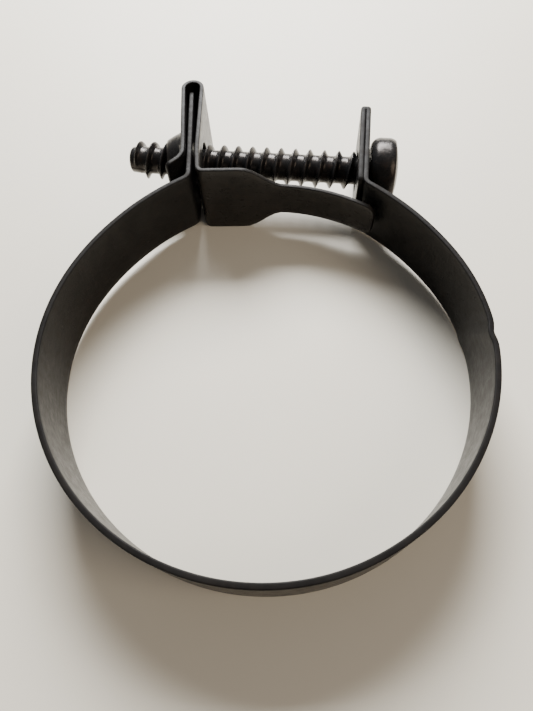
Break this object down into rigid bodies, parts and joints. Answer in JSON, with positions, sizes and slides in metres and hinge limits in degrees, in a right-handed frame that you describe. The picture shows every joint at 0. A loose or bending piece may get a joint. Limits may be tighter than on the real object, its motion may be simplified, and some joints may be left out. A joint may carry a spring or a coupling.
{
  "type": "hose clamp",
  "caption": "Open screw band clamp for a hose: a flat steel strip ring with two ears, a folded nut clip with a bridge under the gap, and a pan head screw.",
  "frame": {"origin": "centre of the hose bore, halfway across the band's width", "axes": "+Z along the hose, +X along the screw towards its head, +Y from the centre of the bore to the screw"},
  "size_m": [0.0522, 0.0675, 0.0112],
  "materials": {
    "black_band": "black phosphate and oil on spring steel strip, satin",
    "black_clip": "black phosphate and oil on sheet steel, satin",
    "black_screw": "black oxide on steel, semi-gloss"
  },
  "bodies": {
    "left_end": {"band_left_ear": "black_band", "nut_clip": "black_clip"},
    "left_side": {"band_left_side": "black_band"},
    "lower_left": {"band_lower_left": "black_band"},
    "bottom": {"band_bottom": "black_band"},
    "lower_right": {"band_lower_right": "black_band"},
    "right_side": {"band_right_side": "black_band"},
    "right_end": {"band_right_ear": "black_band"},
    "bridge": {"bridge_tongue": "black_clip"},
    "screw": {"screw": "black_screw"}
  },
  "joints": [
    {"name": "screw_turn", "type": "hinge", "parent": "right_end", "child": "screw", "pos_m": [0.0115, 0.0308, 0], "axis": [-1, 0, 0], "range_deg": [0, 1440]},
    {"name": "left_ear_flex", "type": "hinge", "parent": "left_end", "child": "left_side", "pos_m": [-0.0144, 0.02297, 0], "axis": [0, 0, 1], "range_deg": [-7.16, 0]},
    {"name": "left_side_flex", "type": "hinge", "parent": "left_side", "child": "lower_left", "pos_m": [-0.0254, 0, 0], "axis": [0, 0, 1], "range_deg": [0, 3.58]},
    {"name": "lower_left_flex", "type": "hinge", "parent": "lower_left", "child": "bottom", "pos_m": [-0.0127, -0.022, 0], "axis": [0, 0, 1], "range_deg": [0, 3.58]},
    {"name": "lower_right_flex", "type": "hinge", "parent": "bottom", "child": "lower_right", "pos_m": [0.0127, -0.022, 0], "axis": [0, 0, 1], "range_deg": [0, 3.58]},
    {"name": "right_side_flex", "type": "hinge", "parent": "lower_right", "child": "right_side", "pos_m": [0.0254, 0, 0], "axis": [0, 0, 1], "range_deg": [0, 3.58]},
    {"name": "right_ear_flex", "type": "hinge", "parent": "right_side", "child": "right_end", "pos_m": [0.0144, 0.02242, 0], "axis": [0, 0, 1], "range_deg": [-7.16, 0]},
    {"name": "bridge_flex", "type": "hinge", "parent": "left_end", "child": "bridge", "pos_m": [-0.01095, 0.02446, 0], "axis": [0, 0, 1], "range_deg": [-14.67, 0]}
  ],
  "couplings": [
    {"joint": "left_ear_flex", "follows": "screw_turn", "ratio": -0.0049488},
    {"joint": "left_side_flex", "follows": "screw_turn", "ratio": 0.0024744},
    {"joint": "lower_left_flex", "follows": "screw_turn", "ratio": 0.0024744},
    {"joint": "lower_right_flex", "follows": "screw_turn", "ratio": 0.0024744},
    {"joint": "right_side_flex", "follows": "screw_turn", "ratio": 0.0024744},
    {"joint": "right_ear_flex", "follows": "screw_turn", "ratio": -0.0049488},
    {"joint": "bridge_flex", "follows": "screw_turn", "ratio": -0.010139}
  ]
}
